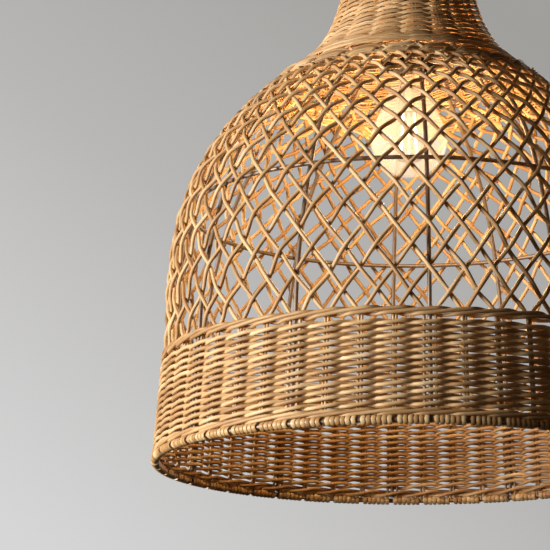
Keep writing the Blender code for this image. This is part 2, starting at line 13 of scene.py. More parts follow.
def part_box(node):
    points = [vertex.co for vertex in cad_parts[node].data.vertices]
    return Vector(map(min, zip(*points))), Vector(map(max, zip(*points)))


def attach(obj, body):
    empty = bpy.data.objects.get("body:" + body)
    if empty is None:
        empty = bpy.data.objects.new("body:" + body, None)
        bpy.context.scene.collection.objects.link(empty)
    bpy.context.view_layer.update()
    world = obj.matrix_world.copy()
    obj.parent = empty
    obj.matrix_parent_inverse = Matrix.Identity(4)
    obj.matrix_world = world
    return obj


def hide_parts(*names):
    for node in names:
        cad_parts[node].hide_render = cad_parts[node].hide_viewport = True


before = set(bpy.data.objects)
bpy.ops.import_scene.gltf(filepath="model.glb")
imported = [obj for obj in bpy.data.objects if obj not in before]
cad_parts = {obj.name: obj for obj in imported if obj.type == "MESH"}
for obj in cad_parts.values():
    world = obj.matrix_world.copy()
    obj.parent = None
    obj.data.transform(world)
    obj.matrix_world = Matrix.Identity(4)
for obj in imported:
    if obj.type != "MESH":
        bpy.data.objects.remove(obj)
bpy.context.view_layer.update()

MM = 0.001


# ---------------------------------------------------------------- sizes from the frame

def box_middle(node):
    low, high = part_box(node)
    return [(a + b) / 2 for a, b in zip(low, high)]


def box_size(node):
    low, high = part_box(node)
    return [b - a for a, b in zip(low, high)]


RIM_Z = box_middle("bottom_ring")[2]
RIM_WIRE = 2.0 * MM              # radius of the bottom ring's wire
RIM_RADIUS = box_size("bottom_ring")[0] / 2 - RIM_WIRE
BAND_FOOT = RIM_RADIUS - 1.5 * MM
BAND_TOP = box_middle("band_top_border")[2] - RIM_Z
BAND_TOP_RADIUS = 191.5 * MM
JUNCTION = 311 * MM
JUNCTION_RADIUS = 100 * MM
DOME_POWER = 3.3
THROAT_RADIUS = 45 * MM
FLARE_LENGTH = 37.5 * MM
TOP = box_middle("top_ring")[2] - RIM_Z
RIB_WIRE = 1.7 * MM              # wire radii
MID_WIRE = 1.6 * MM
TOP_WIRE = 1.8 * MM
MID_RING = box_middle("mid_ring")[2] - RIM_Z
STANDOFF = 7.6 * MM              # ribs inside the wall line above the middle ring
RING_ROOM = 2.8 * MM             # and further still where the middle ring runs outside them
MID_BEND = MID_RING + 1.8 * MM   # where on the wall line the ribs' bend stands off furthest
HOLDER_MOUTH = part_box("holder_body")[0][2] - RIM_Z

GROUPS = 48                      # pairs of stakes round the shade
PITCH = 2 * math.pi / GROUPS
RIBS = 12
FIRST_RIB = math.radians(4.4)
STAKE = 1.65 * MM                # radius of the lattice sticks
STAKE_FOOT = 1.15 * MM           # where their shaved feet stand in the band
WEAVER = 1.58 * MM               # radius of the band's strands
HALF_PAIR = 1.15 * MM            # stakes either side of their group's middle
HALF_TRIPLE = 3.9 * MM           # where a rib stands between them
ROW_PITCH = 5.1 * MM
ROWS = 13
NECK_STAKES = 20
NECK_ROW = 4.5 * MM              # spacing of the neck's rows at its top
NECK_ROW_MORE = 2.4 * MM         # and how much wider it is where the flare begins

rng = np.random.default_rng(7)


def wall_radius(height):
    """Radius of the middle of the wall, for one height or an array of them."""
    h = np.asarray(height, dtype=float)
    band = BAND_FOOT + (BAND_TOP_RADIUS - BAND_FOOT) * h / BAND_TOP
    rise = np.clip((h - BAND_TOP) / (JUNCTION - BAND_TOP), 0, 1)
    dome = BAND_TOP_RADIUS - (BAND_TOP_RADIUS - JUNCTION_RADIUS) * rise ** DOME_POWER
    flare = np.exp(-np.maximum(h - JUNCTION, 0) / FLARE_LENGTH)
    neck = THROAT_RADIUS + (JUNCTION_RADIUS - THROAT_RADIUS) * flare
    return np.where(h <= BAND_TOP, band, np.where(h <= JUNCTION, dome, neck))


def on_wall(angle, height, offset=0.0):
    """Points on the wall, moved out along its own normal by an offset."""
    angle, height, offset = np.broadcast_arrays(np.asarray(angle, float), height, offset)
    reach = 0.5 * MM
    rise = wall_radius(height + reach) - wall_radius(height - reach)
    length = np.hypot(rise, 2 * reach)
    radius = wall_radius(height) + offset * 2 * reach / length
    level = height - offset * rise / length
    return np.stack([radius * np.sin(angle), -radius * np.cos(angle), RIM_Z + level], axis=-1)


def smooth(value):
    value = np.clip(value, 0, 1)
    return value * value * (3 - 2 * value)


# ---------------------------------------------------------------- strands into meshes

class Strands:
    """Collects strands and turns them into one mesh with a length and tone for its material."""

    def __init__(self, sides=7):
        self.sides = sides
        self.points = []
        self.faces = []
        self.uvs = []
        self.tones = []
        self.count = 0

    def lay(self, path, radius, tone=0.5, closed=False, across=None, flat=1.0):
        """A strand along a path. across is what its width faces; flat thins it that way."""
        path = np.asarray(path)
        count = len(path)
        radius = np.broadcast_to(np.asarray(radius, float), (count,))
        tone = np.broadcast_to(np.asarray(tone, float), (count,))
        if closed:
            run = np.roll(path, -1, axis=0) - np.roll(path, 1, axis=0)
        else:
            run = np.gradient(path, axis=0)
        run = run / np.linalg.norm(run, axis=1, keepdims=True)
        if across is None:
            across = path * (1, 1, 0)
        side = np.cross(run, across)
        side = side / np.linalg.norm(side, axis=1, keepdims=True)
        out = np.cross(side, run)
        turn = 2 * math.pi * np.arange(self.sides) / self.sides
        ring = (np.cos(turn)[None, :, None] * out[:, None] * flat
                + np.sin(turn)[None, :, None] * side[:, None])
        self.points.append((path[:, None] + ring * radius[:, None, None]).reshape(-1, 3))
        self.tones.append(np.repeat(tone, self.sides))
        step = np.linalg.norm(np.diff(path, axis=0), axis=1)
        along = np.concatenate([[0], np.cumsum(step)])
        rows = np.arange(count if closed else count - 1)
        after = (rows + 1) % count
        end = np.where(after == 0, along[-1] + step[-1], along[after])
        for side_step in range(self.sides):
            beside = (side_step + 1) % self.sides
            quad = np.stack([rows * self.sides + side_step, rows * self.sides + beside,
                             after * self.sides + beside, after * self.sides + side_step], axis=1)
            self.faces += (quad + self.count).tolist()
            low, high = side_step / self.sides, (side_step + 1) / self.sides
            uv = np.empty((len(rows), 4, 2))
            uv[:, 0] = np.stack([along[rows], np.full(len(rows), low)], axis=1)
            uv[:, 1] = np.stack([along[rows], np.full(len(rows), high)], axis=1)
            uv[:, 2] = np.stack([end, np.full(len(rows), high)], axis=1)
            uv[:, 3] = np.stack([end, np.full(len(rows), low)], axis=1)
            self.uvs.append(uv.reshape(-1, 2))
        if not closed:
            for first, place in ((self.count + (count - 1) * self.sides, along[-1]),
                                 (self.count, 0.0)):
                cap = list(range(first, first + self.sides))
                self.faces.append(cap if first != self.count else cap[::-1])
                self.uvs.append(np.tile([place, 0.5], (self.sides, 1)))
        self.count += count * self.sides

    def make(self, name, material, body, *nodes):
        mesh = bpy.data.meshes.new(name)
        mesh.from_pydata(np.concatenate(self.points).tolist(), [], self.faces)
        layer = mesh.uv_layers.new(name="strand")
        layer.data.foreach_set("uv", np.concatenate(self.uvs).astype(np.float32).ravel())
        tone = mesh.attributes.new("tone", "FLOAT", "POINT")
        tone.data.foreach_set("value", np.concatenate(self.tones).astype(np.float32))
        mesh.shade_smooth()
        mesh.set_sharp_from_angle(angle=math.radians(65))
        mesh.materials.append(material)
        piece = bpy.data.objects.new(name, mesh)
        bpy.context.scene.collection.objects.link(piece)
        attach(piece, body)
        if nodes:
            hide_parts(*nodes)
        return piece


def drift(count, size, waves=5):
    """A slow closed wander along a strand, so that no two rows match."""
    place = 2 * math.pi * np.arange(count) / count
    total = np.zeros(count)
    for wave in range(1, waves + 1):
        total += rng.normal() / wave ** 0.5 * np.sin(wave * 3 * place + rng.uniform(0, 6.3))
    return total * size / 2


# ---------------------------------------------------------------- materials

def colour(code):
    """An sRGB hex colour as linear RGBA."""
    parts = [int(code[place:place + 2], 16) / 255 for place in (1, 3, 5)]
    return [part / 12.92 if part <= 0.04045 else ((part + 0.055) / 1.055) ** 2.4
            for part in parts] + [1.0]


def add(tree, kind, settings=None, links=None):
    """Adds a node, sets its properties and sockets, and links outputs into its inputs."""
    node = tree.nodes.new(kind)
    for name, value in (settings or {}).items():
        if isinstance(name, str) and name not in node.inputs:
            setattr(node, name, value)
    for name, value in (settings or {}).items():
        if isinstance(name, int) or name in node.inputs:
            node.inputs[name].default_value = value
    for name, output in (links or {}).items():
        tree.links.new(output, node.inputs[name])
    return node


def new_material(name):
    material = bpy.data.materials.new(name)
    material.use_nodes = True
    tree = material.node_tree
    return material, tree, tree.nodes["Principled BSDF"]


def ramp(tree, factor, stops):
    node = add(tree, "ShaderNodeValToRGB", links={"Fac": factor})
    elements = node.color_ramp.elements
    while len(elements) < len(stops):
        elements.new(0.5)
    for element, (place, code) in zip(elements, stops):
        element.position = place
        element.color = colour(code)
    return node


def cane_material(name, stops, roughness, fibre_depth):
    """Peeled rattan: long fine fibres, soft cloudy staining, and each strand its own tone."""
    material, tree, shader = new_material(name)
    uv = add(tree, "ShaderNodeUVMap", {"uv_map": "strand"}).outputs["UV"]
    # fibres 0.25 mm apart round the strand and about 12 mm long
    stretched = add(tree, "ShaderNodeMapping", {"Scale": (1 / 0.012, 30.0, 1.0)}, {"Vector": uv})
    fibre = add(tree, "ShaderNodeTexNoise", {"Scale": 1.0, "Detail": 3.0, "Roughness": 0.6},
                {"Vector": stretched.outputs[0]})
    place = add(tree, "ShaderNodeTexCoord").outputs["Object"]
    # stains about 20 mm across
    stain = add(tree, "ShaderNodeTexNoise", {"Scale": 50.0, "Detail": 3.0}, {"Vector": place})
    tone = add(tree, "ShaderNodeAttribute", {"attribute_name": "tone"})
    part = add(tree, "ShaderNodeMath", {"operation": "MULTIPLY_ADD", 1: 0.35},
               {0: fibre.outputs["Fac"], 2: tone.outputs["Fac"]})
    whole = add(tree, "ShaderNodeMath", {"operation": "MULTIPLY_ADD", 1: 0.55},
                {0: stain.outputs["Fac"], 2: part.outputs[0]})
    level = add(tree, "ShaderNodeMapRange", {"From Min": 0.45, "From Max": 1.45},
                {"Value": whole.outputs[0]})
    shade = ramp(tree, level.outputs[0], stops)
    tree.links.new(shade.outputs["Color"], shader.inputs["Base Color"])
    gloss = add(tree, "ShaderNodeMapRange", {"To Min": roughness - 0.08, "To Max": roughness + 0.1},
                {"Value": fibre.outputs["Fac"]})
    tree.links.new(gloss.outputs[0], shader.inputs["Roughness"])
    bump = add(tree, "ShaderNodeBump", {"Strength": 0.5, "Distance": fibre_depth},
               {"Height": fibre.outputs["Fac"]})
    tree.links.new(bump.outputs[0], shader.inputs["Normal"])
    shader.inputs["IOR"].default_value = 1.5
    return material


def plain_material(name, code, roughness, metallic=0.0, grain=0.0, grain_size=0.001,
                   specular=0.5):
    """A solid finish with a fine grain and a little unevenness in its gloss."""
    material, tree, shader = new_material(name)
    place = add(tree, "ShaderNodeTexCoord").outputs["Object"]
    cloud = add(tree, "ShaderNodeTexNoise", {"Scale": 1 / (12 * grain_size), "Detail": 4.0},
                {"Vector": place})
    dark = [part * 0.72 for part in colour(code)[:3]] + [1.0]
    mixed = add(tree, "ShaderNodeMix", {"data_type": "RGBA"})
    tree.links.new(cloud.outputs["Fac"], mixed.inputs[0])
    mixed.inputs[6].default_value = dark
    mixed.inputs[7].default_value = colour(code)
    tree.links.new(mixed.outputs[2], shader.inputs["Base Color"])
    gloss = add(tree, "ShaderNodeMapRange", {"To Min": roughness - 0.06, "To Max": roughness + 0.08},
                {"Value": cloud.outputs["Fac"]})
    tree.links.new(gloss.outputs[0], shader.inputs["Roughness"])
    shader.inputs["Metallic"].default_value = metallic
    shader.inputs["Specular IOR Level"].default_value = specular
    if grain:
        fine = add(tree, "ShaderNodeTexNoise", {"Scale": 1 / grain_size, "Detail": 2.0},
                   {"Vector": place})
        bump = add(tree, "ShaderNodeBump", {"Strength": 0.4, "Distance": grain},
                   {"Height": fine.outputs["Fac"]})
        tree.links.new(bump.outputs[0], shader.inputs["Normal"])
    return material


# Smoked rattan core: pale straw where it is dry, brown where the smoke took
rattan = cane_material("smoked_rattan_core", [(0.0, "#8A6542"), (0.4, "#BC9668"),
                                              (0.75, "#DCBB8C"), (1.0, "#EED9B4")], 0.5, 0.12 * MM)
# Split cane wraps: the skin side out, so a little smoother
split_cane = cane_material("split_rattan_cane", [(0.0, "#8E6642"), (0.4, "#C49C6A"),
                                                 (0.75, "#E0C08E"), (1.0, "#F0DAB2")], 0.42,
                           0.08 * MM)
# Brown lacquered steel wire, satin
wire_steel = plain_material("lacquered_steel_wire", "#8E7C6C", 0.42, 0.35, 0.03 * MM, 0.8 * MM)
# Black thermoplastic, moulded matt with a fine spark-eroded grain
thermoplastic = plain_material("black_thermoplastic", "#171514", 0.62, 0.0, 0.02 * MM, 0.5 * MM,
                               specular=0.12)
# Unglazed steatite
steatite = plain_material("steatite_ceramic", "#D8D2C4", 0.6, 0.0, 0.02 * MM, 0.4 * MM)
# Nickel-plated brass sheet
nickel = plain_material("nickel_plated_brass", "#C9C2B4", 0.28, 1.0, 0.01 * MM, 0.4 * MM)
# Drawn brass sheet of the bulb's cap
brass = plain_material("drawn_brass", "#C8A764", 0.3, 1.0, 0.01 * MM, 0.4 * MM)


def glowing_material(name, code, strength):
    """Phosphor-coated light stick, lit from inside, a little uneven along its length."""
    material, tree, shader = new_material(name)
    place = add(tree, "ShaderNodeTexCoord").outputs["Object"]
    beads = add(tree, "ShaderNodeTexNoise", {"Scale": 900.0, "Detail": 1.0}, {"Vector": place})
    warm = ramp(tree, beads.outputs["Fac"], [(0.3, code), (0.7, "#FFF3D6")])
    tree.links.new(warm.outputs["Color"], shader.inputs["Emission Color"])
    shader.inputs["Base Color"].default_value = colour(code)
    shader.inputs["Emission Strength"].default_value = strength
    shader.inputs["Roughness"].default_value = 0.5
    return material


def bulb_glass_material(name, haze, glow):
    """Thin glass with the lit bulb's creamy haze, which clears towards the shaded neck."""
    material, tree, shader = new_material(name)
    place = add(tree, "ShaderNodeTexCoord").outputs["Object"]
    ripple = add(tree, "ShaderNodeTexNoise", {"Scale": 60.0, "Detail": 1.0}, {"Vector": place})
    bump = add(tree, "ShaderNodeBump", {"Strength": 0.15, "Distance": 0.2 * MM},
               {"Height": ripple.outputs["Fac"]})
    shader.inputs["Base Color"].default_value = colour("#FFF4DC")
    shader.inputs["Roughness"].default_value = 0.06
    shader.inputs["IOR"].default_value = 1.5
    level = add(tree, "ShaderNodeSeparateXYZ", links={"Vector": place}).outputs["Z"]
    neck = RIM_Z + HOLDER_MOUTH
    clearing = add(tree, "ShaderNodeMapRange", {"From Min": neck - 30 * MM, "From Max": neck - 10 * MM,
                                                "To Min": haze, "To Max": 0.03}, {"Value": level})
    tree.links.new(clearing.outputs[0], shader.inputs["Alpha"])
    shader.inputs["Emission Color"].default_value = colour("#FFEFD0")
    shader.inputs["Emission Strength"].default_value = glow
    tree.links.new(bump.outputs[0], shader.inputs["Normal"])
    return material


filament_glow = glowing_material("lit_phosphor_stick", "#FFD79A", 6.0)
bulb_glass = bulb_glass_material("thin_soda_glass", 0.2, 0.6)
stem_glass = bulb_glass_material("lead_glass_stem", 0.35, 0.6)


# ---------------------------------------------------------------- stakes and lattice

heights = np.linspace(BAND_TOP, JUNCTION + 8 * MM, 400)
steps = np.hypot(np.diff(heights), np.diff(wall_radius(heights)))
climb = np.linspace(1.36, 1.12, len(steps))     # tangent of the sticks' slope, foot to top
sweep = np.concatenate([[0], np.cumsum(steps / climb / wall_radius(heights[1:]))])  # their turn


TUCKED_IN = 2.2 * MM             # sticks' ends inside the wall line, behind the braid


def lean_height(turned):
    """Height at which a stick has turned by an angle since the band's top."""
    return np.interp(turned, sweep, heights)


def half_gap(group):
    return HALF_TRIPLE if group % (GROUPS // RIBS) == 0 else HALF_PAIR


def group_angle(group):
    return FIRST_RIB + group * PITCH


def lattice_stick(strands, group, hand, own, others):
    """One stick: up through the band beside its neighbour, then leaning off across the dome.

    Places along it are counted in crossings with the sticks that lean the other way.
    """
    start = half_gap(group) / BAND_TOP_RADIUS
    last = 2 * (sweep[-1] - 4 * MM / JUNCTION_RADIUS) / PITCH
    places = np.arange(0, last, 1 / 6)
    level = np.arange(int(last) + 2)
    apart = np.array([own[group] - others[(group + hand * k) % GROUPS] for k in level])
    spread = np.interp(places, level, apart) * smooth(places)
    turned = np.maximum(places * PITCH / 2 + spread / 2, start)
    keep = places * PITCH / 2 > start * 1.05
    places, turned, spread = places[keep], turned[keep], spread[keep]
    height = lean_height(turned - start * (1 - smooth(places / 6)))
    angle = group_angle(group) + hand * turned - hand * spread
    # over one stick and under the next, and its end tucked inside the braid
    bend = STAKE * (0.7 if hand < 0 else -1.0)
    cross = bend * np.cos(math.pi * places) * smooth((places - 0.2) / 0.8)
    tuck = smooth((places - (last - 1.6)) / 1.2)
    cross = cross * (1 - tuck) - TUCKED_IN * tuck
    foot = np.linspace(-1.0 * MM, BAND_TOP - 1 * MM, 12)
    straight = np.full(len(foot), group_angle(group) + hand * start)
    lean = rng.normal(0, 0.3 * MM) / BAND_TOP_RADIUS
    straight = straight + lean * np.sin(np.linspace(0, math.pi, len(foot)))
    angles = np.concatenate([straight, angle])
    levels = np.concatenate([foot, height])
    offsets = np.concatenate([np.zeros(len(foot)), cross])
    tone = rng.uniform(0.25, 0.75) + drift(len(angles), 0.06)
    size = STAKE_FOOT + (STAKE - STAKE_FOOT) * smooth((levels - BAND_TOP + 2 * MM) / (8 * MM))
    strands.lay(on_wall(angles, levels, offsets), size * rng.uniform(0.94, 1.06), tone)


def build_lattice():
    wander = math.radians(0.3)
    left_own = rng.normal(0, wander, GROUPS)
    right_own = rng.normal(0, wander, GROUPS)
    for name, hand, own, others in (("lattice_sticks_left", -1, left_own, right_own),
                                    ("lattice_sticks_right", 1, right_own, left_own)):
        strands = Strands(7)
        for group in range(GROUPS):
            lattice_stick(strands, group, hand, own, others)
        piece = strands.make(name, rattan, "shade")
        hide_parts("lattice_dome")


# ---------------------------------------------------------------- twined rows

def wale(strands, height, reach, lift, over, thick, members, per_group=8, groups=GROUPS,
         first=FIRST_RIB, phase=0, rods=1, wave=0.0, tone=(0.3, 0.7), wander=0.25 * MM,
         inside=0.0):
    """A row of strands that pass outside `over` stake groups and inside the next, in turn.

    inside is how much higher a strand runs behind the stakes than in front of them.
    """
    edge = 0.30                  # half the share of a group's spacing in which it changes sides
    period = over + 1
    count = groups * per_group
    place = np.arange(count) / per_group
    angle = first + place * 2 * math.pi / groups
    sway = drift(count, wander)
    for member in range(members):
        u = (place + phase + member) % period       # 0 in the middle of its first group
        leaving = smooth((u - (over - 0.5 - edge)) / (2 * edge))
        coming = smooth((u - (period - 0.5 - edge)) / (2 * edge))
        out = 1 - 2 * leaving + 2 * coming
        rising = (u + 0.5) % period
        climbing = rising / over
        falling = rising - over
        level = np.where(rising < over, -1 + 2 * smooth(climbing), 1 - 2 * smooth(falling))
        base = rng.uniform(*tone)
        size = thick * rng.uniform(0.95, 1.05)
        for rod in range(rods):
            stack = (rod - (rods - 1) / 2) * 2 * size * 0.95
            rise = height + lift * level + stack + sway + wave * np.sin(angle * 9 + height * 900)
            rise = rise + inside * (1 - out) / 2
            own = base + rng.uniform(-0.12, 0.12) + drift(count, 0.14, 9)
            path = on_wall(angle, rise, reach * out + rng.normal(0, 0.05 * MM))
            strands.lay(path, size, own, closed=True)


def build_band():
    strands = Strands(7)
    first_row = 11.1 * MM
    for row in range(ROWS):
        wale(strands, first_row + row * ROW_PITCH, reach=3.0 * MM, lift=1.15 * MM, over=1,
             thick=WEAVER, members=2, phase=row % 2, inside=1.7 * MM)
    piece = strands.make("band_twined_rows", rattan, "shade", "lower_band")

    strands = Strands(7)
    wale(strands, 5.6 * MM, reach=3.1 * MM, lift=1.9 * MM, over=2, thick=1.45 * MM, members=3)
    piece = strands.make("band_foot_wale", rattan, "shade")

    strands = Strands(7)
    wale(strands, BAND_TOP - 1.0 * MM, reach=3.2 * MM, lift=2.4 * MM, over=2, thick=1.55 * MM,
         members=3, wave=0.5 * MM)
    piece = strands.make("band_rope_border", rattan, "shade", "band_top_border")


# ---------------------------------------------------------------- braid and neck

def build_braid():
    """Bundles of cane laid over each other like scallops where the dome meets the neck."""
    strands = Strands(7)
    bundles = 24
    canes = 5
    cane = 0.98 * MM
    span = math.radians(27)
    begin_low, crest_low, end_low = 298.0 * MM, 302.5 * MM, 303.0 * MM   # the lowest cane
    begin_pitch, crest_pitch, end_pitch = 1.0 * MM, 1.75 * MM, 1.7 * MM  # and those above it
    sunk = 2.6 * MM              # the ends, inside the wall line
    for bundle in range(bundles):
        begin = (bundle + rng.uniform(-0.08, 0.08)) * 2 * math.pi / bundles
        tone = rng.uniform(0.25, 0.75)
        for number in range(canes):
            t = np.linspace(-0.02, 1.02, 24)
            first = begin_low + number * begin_pitch
            crest = crest_low + number * crest_pitch
            last = end_low + number * end_pitch
            pull = 2 * crest - (first + last) / 2
            height = (1 - t) ** 2 * first + 2 * t * (1 - t) * pull + t ** 2 * last
            height = height + rng.normal(0, 0.2 * MM)
            rise = (3.9 + number * 0.55) * MM
            out = -sunk + rise * smooth(t / 0.3) * (1 - smooth((t - 0.45) / 0.55))
            out = out + rng.normal(0, 0.15 * MM)
            angle = begin + t * span + rng.normal(0, 0.004)
            strands.lay(on_wall(angle, height, out), cane, tone + rng.uniform(-0.25, 0.25))
    for row, height in enumerate((318.0 * MM, 322.5 * MM)):
        wale(strands, height, reach=2.2 * MM, lift=1.5 * MM, over=2, thick=0.85 * MM, members=3,
             groups=24, first=0.1, phase=row, rods=2, wander=0.5 * MM)
    piece = strands.make("junction_scallops", rattan, "shade", "junction_braid")


def neck_spread(height):
    """Spacing of the neck's rows, which widens down the flare."""
    return NECK_ROW + NECK_ROW_MORE * math.exp(-(height - JUNCTION - 15 * MM) / (20 * MM))


def build_neck():
    """Twined rows that widen down the flare, where a third cane joins each strand."""
    levels = [JUNCTION + 15.5 * MM]
    while True:
        low = levels[-1]
        slope = float(wall_radius(low) - wall_radius(low + MM)) / MM
        spread = neck_spread(low)
        if low + spread > TOP - 3 * MM:
            break
        levels.append(low + spread / math.hypot(1, slope))
    half = len(levels) // 2
    for name, part in (("neck_rows_low", levels[:half]), ("neck_rows_high", levels[half:])):
        strands = Strands(6)
        for row, height in enumerate(part):
            spread = neck_spread(height)
            rods = 3 if spread > 5.7 * MM else 2
            wale(strands, height, reach=1.6 * MM, lift=0.21 * spread, over=1,
                 thick=0.31 * spread / rods, members=2, groups=NECK_STAKES, phase=row % 2,
                 rods=rods, wander=0.3 * MM)
        piece = strands.make(name, rattan, "shade")
        if part[0] == levels[0]:
            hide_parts("neck_weave")
    strands = Strands(7)
    half_pair = 1.2 * MM
    for stake in range(NECK_STAKES):
        middle = FIRST_RIB + stake * 2 * math.pi / NECK_STAKES
        for side in (-1, 1):
            height = np.linspace(JUNCTION + 2 * MM, TOP - 1 * MM, 30)
            angle = middle + side * half_pair / wall_radius(height)
            strands.lay(on_wall(angle, height, -0.5 * MM), 1.0 * MM, rng.uniform(0.3, 0.7))
    piece = strands.make("neck_stakes", rattan, "shade")


# ---------------------------------------------------------------- wrapped rings

def wrap_ring(name, node, radius, height, wire, groups, wraps, gap):
    """Half-round cane wound round a ring, in groups of wraps with a gap where stakes come in."""
    strands = Strands(6)
    reach = wire + 0.75 * MM
    slip = 0.9 * MM              # how far a turn of cane slants along the ring
    cover = 1.72 / 3.4           # half a cane's width as a share of the step between turns
    joint = 0.5                  # angle round the wire at which each turn meets the next
    pitch = 2 * math.pi / groups
    step = (pitch * radius - gap) / wraps
    for number in range(groups):
        for wrap in range(wraps):
            middle = FIRST_RIB + (number + 0.5) * pitch
            place = middle + ((wrap - (wraps - 1) / 2) * step) / radius
            turn = np.linspace(0, 2 * math.pi, 16, endpoint=False) + joint
            slant = slip * np.sin(turn / 2) / radius + rng.normal(0, 0.12 * MM) / radius
            angle = place + slant
            out = radius + reach * np.cos(turn)
            level = height + reach * np.sin(turn)
            path = np.stack([out * np.sin(angle), -out * np.cos(angle), RIM_Z + level], axis=1)
            centre = np.stack([radius * np.sin(angle), -radius * np.cos(angle),
                               np.full(len(turn), RIM_Z + height)], axis=1)
            size = cover * step * rng.uniform(0.93, 1.03)
            strands.lay(path, size, rng.uniform(0.2, 0.8), closed=True, across=path - centre,
                        flat=0.5)
    piece = strands.make(name, split_cane, "shade", node)


# ---------------------------------------------------------------- steel frame

def rib_offset(height):
    below = smooth((height - BAND_TOP) / (MID_BEND - BAND_TOP))
    above = smooth((JUNCTION - height) / (JUNCTION - MID_BEND))
    return -STANDOFF * below - RING_ROOM * np.minimum(below, above)


def build_frame():
    rib_points, ring_points = 60, 180
    for rib in range(RIBS):
        strands = Strands(10)
        node = f"rib_{rib + 1:02d}"
        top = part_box(node)[1][2] - RIM_Z
        height = np.linspace(RIM_WIRE + 0.3 * MM, top - 1.5 * MM, rib_points)
        angle = np.full(rib_points, FIRST_RIB + rib * 2 * math.pi / RIBS)
        path = on_wall(angle, height, rib_offset(height))
        strands.lay(path, RIB_WIRE, 0.5)
        piece = strands.make(f"wire_{node}", wire_steel, "shade", node)
    for name, node, wire in (("wire_bottom_ring", "bottom_ring", RIM_WIRE),
                             ("wire_mid_ring", "mid_ring", MID_WIRE),
                             ("wire_neck_ring", "neck_ring", RIB_WIRE),
                             ("wire_top_ring", "top_ring", TOP_WIRE)):
        strands = Strands(10)
        radius = box_size(node)[0] / 2 - wire
        level = box_middle(node)[2]
        angle = np.linspace(0, 2 * math.pi, ring_points, endpoint=False)
        path = np.stack([radius * np.sin(angle), -radius * np.cos(angle),
                         np.full(ring_points, level)], axis=1)
        strands.lay(path, wire, 0.5, closed=True)
        piece = strands.make(name, wire_steel, "shade", node)


# ---------------------------------------------------------------- turned pieces

def turned(name, outline, facets, material, body, *nodes, smooth_below=40):
    """A closed outline of (radius, height) turned round the axis, smooth where it curves."""
    turn = 2 * math.pi * np.arange(facets) / facets
    points = []
    for radius, level in outline:
        radius = np.asarray(radius(turn) if callable(radius) else np.full(facets, radius))
        points.append(np.stack([radius * np.sin(turn), -radius * np.cos(turn),
                                np.full(facets, RIM_Z + level)], axis=1))
    count = len(outline)
    faces = []
    for row in range(count):
        after = (row + 1) % count
        for step in range(facets):
            side = (step + 1) % facets
            faces.append((row * facets + step, after * facets + step,
                          after * facets + side, row * facets + side))
    mesh = bpy.data.meshes.new(name)
    mesh.from_pydata(np.concatenate(points).tolist(), [], faces)
    mesh.shade_smooth()
    mesh.set_sharp_from_angle(angle=math.radians(smooth_below))
    mesh.materials.append(material)
    piece = bpy.data.objects.new(name, mesh)
    bpy.context.scene.collection.objects.link(piece)
    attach(piece, body)
    if nodes:
        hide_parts(*nodes)
    return piece


def build_holder():
    """The clamping ring with its fine grip ribs; the CAD's other holder pieces keep theirs."""
    low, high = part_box("shade_ring")
    outer = (high[0] - low[0]) / 2
    bottom, top = low[2] - RIM_Z, high[2] - RIM_Z
    bore = outer - 2.2 * MM
    ribs = 60
    groove = 0.35 * MM

    def grip(turn):
        return outer - groove * (0.5 + 0.5 * np.cos(ribs * turn)) ** 2

    outline = [(bore, bottom + 0.4 * MM), (bore + 0.3 * MM, bottom), (outer - 1.1 * MM, bottom),
               (outer - 0.4 * MM, bottom + 0.3 * MM), (outer - groove, bottom + 1.2 * MM),
               (grip, bottom + 1.5 * MM), (grip, top - 2.4 * MM), (outer - groove, top - 2.1 * MM),
               (outer, top - 1.8 * MM), (outer, top - 0.3 * MM), (outer - 0.3 * MM, top),
               (bore, top)]
    piece = turned("shade_ring_ribbed", outline, 480, thermoplastic, "clamp_ring", "shade_ring")


def build_bulb():
    """The glass as a smooth teardrop shell, open where it goes into its cap."""
    low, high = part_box("bulb_glass")
    radius = (high[0] - low[0]) / 2
    bottom = low[2] - RIM_Z
    centre = bottom + radius
    mouth = HOLDER_MOUTH - 1.5 * MM
    neck = 12.8 * MM             # radii where it enters the holder and inside the cap
    seat = 11.1 * MM
    wall = 0.8 * MM
    round_steps, neck_steps = 24, 32
    outside = []
    for step in range(1, round_steps + 1):
        turn = math.pi / 2 * step / round_steps
        outside.append((radius * math.sin(turn), centre - radius * math.cos(turn)))
    for step in range(1, neck_steps + 1):
        share = step / neck_steps
        eased = float(smooth(share ** 0.85))
        outside.append((radius - (radius - neck) * eased, centre + (mouth - centre) * share))
    outside.append((seat, mouth + 0.5 * MM))
    outside.append((seat, mouth + 9 * MM))
    inside = [(max(r - wall, 0.2 * MM), h + (wall if h < centre - radius * 0.7 else 0))
              for r, h in outside]
    outline = [(0.05 * MM, bottom)] + outside + inside[::-1] + [(0.05 * MM, bottom + wall)]
    piece = turned("bulb_envelope", outline, 64, bulb_glass, "bulb", "bulb_glass")


# ---------------------------------------------------------------- finishes of the kept nodes

def give(material, *nodes):
    for node in nodes:
        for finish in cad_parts[node].material_slots:
            finish.link = "OBJECT"
            finish.material = material


build_lattice()
build_band()
build_braid()
build_neck()
wrap_ring("rim_cane_wraps", "rim_binding", RIM_RADIUS, 0.0, wire=RIM_WIRE, groups=GROUPS, wraps=6,
          gap=3.2 * MM)
wrap_ring("top_cane_wraps", "top_binding", float(wall_radius(TOP)), TOP, wire=TOP_WIRE,
          groups=NECK_STAKES, wraps=4, gap=1.5 * MM)
build_frame()
build_holder()
build_bulb()
give(wire_steel, "spider", "cord_grip_screw", "grip_nut", "ring_washer")
give(thermoplastic, "holder_body", "holder_cap", "cord_grip", "cap_insulator")
give(steatite, "holder_insert")
give(nickel, "screw_shell", "centre_contact", "side_contact", "terminal_screw_1",
     "terminal_screw_2", "contact_tip", "filament_collar", "filament_crown")
give(brass, "bulb_cap")
give(stem_glass, "bulb_stem")
give(filament_glow, "filament_1", "filament_2", "filament_3", "filament_4")


